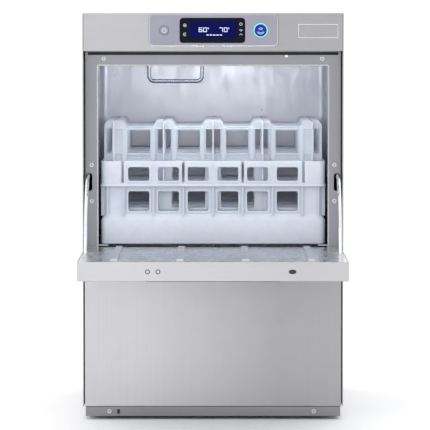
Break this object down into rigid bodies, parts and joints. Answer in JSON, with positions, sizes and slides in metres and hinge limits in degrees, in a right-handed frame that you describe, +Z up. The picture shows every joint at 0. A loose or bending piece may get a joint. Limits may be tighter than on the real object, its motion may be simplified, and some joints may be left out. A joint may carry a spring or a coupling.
{
  "type": "glass washer machine",
  "caption": "Undercounter stainless steel glasswasher with a drop-down door, sliding rack, rotating spray arms and a front control panel.",
  "frame": {"origin": "centre of the overall footprint with the door open, at the underside of the feet", "axes": "+X to the user's right, +Y from the door to the back, +Z up"},
  "size_m": [0.46, 0.883, 0.7175],
  "materials": {
    "brushed_steel": "vertical brushed",
    "polished_steel": "bright pressed sheet",
    "bright_steel": "polished rod and wire",
    "motor_grey": "painted casting",
    "rack_white": "moulded polypropylene",
    "black_plastic": "moulded",
    "grey_plastic": "fine moulded",
    "blue_plastic": "gloss",
    "light_ring": "translucent diffuser",
    "display_glass": "gloss black window",
    "rubber": "matt",
    "circuit_board": "solder mask",
    "brass": "machined"
  },
  "bodies": {
    "cabinet": {"base_tray": "brushed_steel", "plinth_strip": "brushed_steel", "side_panel_left": "brushed_steel", "side_panel_right": "brushed_steel", "top_panel": "brushed_steel", "back_panel": "brushed_steel", "lower_front_panel": "brushed_steel", "control_fascia": "brushed_steel", "control_insert": "grey_plastic", "display_window": "display_glass", "display_board": "circuit_board", "control_board": "circuit_board", "badge_plate": "brushed_steel", "start_button_ring": "light_ring", "wash_tank": "polished_steel", "front_frame": "brushed_steel", "door_seal": "rubber", "rack_rail_left": "brushed_steel", "rack_rail_right": "brushed_steel", "tank_filter": "polished_steel", "standpipe": "grey_plastic", "tank_heater": "bright_steel", "lower_spindle": "grey_plastic", "upper_spindle": "grey_plastic", "pump_housing": "black_plastic", "pump_motor": "motor_grey", "suction_hose": "rubber", "wash_riser": "rubber", "boiler_tank": "polished_steel", "boiler_heater": "brass", "inlet_valve": "grey_plastic", "drain_spigot": "black_plastic", "cable_gland": "black_plastic", "drain_pump": "black_plastic", "detergent_doser": "grey_plastic", "rinse_aid_doser": "grey_plastic", "hinge_bracket_left": "brushed_steel", "hinge_bracket_right": "brushed_steel", "door_spring_left": "bright_steel", "door_spring_right": "bright_steel"},
    "door": {"door_outer_skin": "brushed_steel", "door_inner_skin": "brushed_steel", "door_handle": "black_plastic", "door_arm_left": "bright_steel", "door_arm_right": "bright_steel"},
    "rack": {"basket": "rack_white", "basket_divider": "rack_white"},
    "power_button": {"power_button": "grey_plastic"},
    "start_button": {"start_button": "blue_plastic"},
    "lower_wash_arm": {"lower_wash_arm": "polished_steel"},
    "lower_rinse_arm": {"lower_rinse_arm": "bright_steel"},
    "upper_wash_arm": {"upper_wash_arm": "polished_steel"},
    "upper_rinse_arm": {"upper_rinse_arm": "bright_steel"},
    "pump_impeller": {"pump_impeller": "grey_plastic"},
    "detergent_rotor": {"detergent_rotor": "rack_white"},
    "rinse_aid_rotor": {"rinse_aid_rotor": "blue_plastic"},
    "foot_front_left": {"foot_front_left": "black_plastic"},
    "foot_front_right": {"foot_front_right": "black_plastic"},
    "foot_rear_left": {"foot_rear_left": "black_plastic"},
    "foot_rear_right": {"foot_rear_right": "black_plastic"}
  },
  "joints": [
    {"name": "door_hinge", "type": "hinge", "parent": "cabinet", "child": "door", "pos_m": [0, -0.08225, 0.28775], "axis": [1, 0, 0], "range_deg": [-90, 0], "deforming": ["door_spring_left", "door_spring_right"]},
    {"name": "basket_slide", "type": "slide", "parent": "cabinet", "child": "rack", "axis": [0, -1, 0], "range_m": [0, 0.37]},
    {"name": "power_button_press", "type": "slide", "parent": "cabinet", "child": "power_button", "axis": [0, 1, 0], "range_m": [0, 0.0015], "stiffness_N_per_m": 400},
    {"name": "start_button_press", "type": "slide", "parent": "cabinet", "child": "start_button", "axis": [0, 1, 0], "range_m": [0, 0.0015], "stiffness_N_per_m": 400},
    {"name": "lower_wash_arm_spin", "type": "hinge", "parent": "cabinet", "child": "lower_wash_arm", "pos_m": [0, 0.1425, 0.2789], "axis": [0, 0, 1], "continuous": true},
    {"name": "lower_rinse_arm_spin", "type": "hinge", "parent": "cabinet", "child": "lower_rinse_arm", "pos_m": [0, 0.1425, 0.2935], "axis": [0, 0, 1], "continuous": true},
    {"name": "upper_wash_arm_spin", "type": "hinge", "parent": "cabinet", "child": "upper_wash_arm", "pos_m": [0, 0.1425, 0.6551], "axis": [0, 0, 1], "continuous": true},
    {"name": "upper_rinse_arm_spin", "type": "hinge", "parent": "cabinet", "child": "upper_rinse_arm", "pos_m": [0, 0.1425, 0.6405], "axis": [0, 0, 1], "continuous": true},
    {"name": "pump_impeller_spin", "type": "hinge", "parent": "cabinet", "child": "pump_impeller", "pos_m": [-0.02, 0.2015, 0.091], "axis": [1, 0, 0], "continuous": true},
    {"name": "detergent_rotor_spin", "type": "hinge", "parent": "cabinet", "child": "detergent_rotor", "pos_m": [-0.155, -0.0265, 0.087], "axis": [0, 1, 0], "continuous": true},
    {"name": "rinse_aid_rotor_spin", "type": "hinge", "parent": "cabinet", "child": "rinse_aid_rotor", "pos_m": [-0.075, -0.0265, 0.087], "axis": [0, 1, 0], "continuous": true},
    {"name": "foot_front_left_height", "type": "slide", "parent": "cabinet", "child": "foot_front_left", "axis": [0, 0, -1], "range_m": [0, 0.015]},
    {"name": "foot_front_right_height", "type": "slide", "parent": "cabinet", "child": "foot_front_right", "axis": [0, 0, -1], "range_m": [0, 0.015]},
    {"name": "foot_rear_left_height", "type": "slide", "parent": "cabinet", "child": "foot_rear_left", "axis": [0, 0, -1], "range_m": [0, 0.015]},
    {"name": "foot_rear_right_height", "type": "slide", "parent": "cabinet", "child": "foot_rear_right", "axis": [0, 0, -1], "range_m": [0, 0.015]}
  ]
}
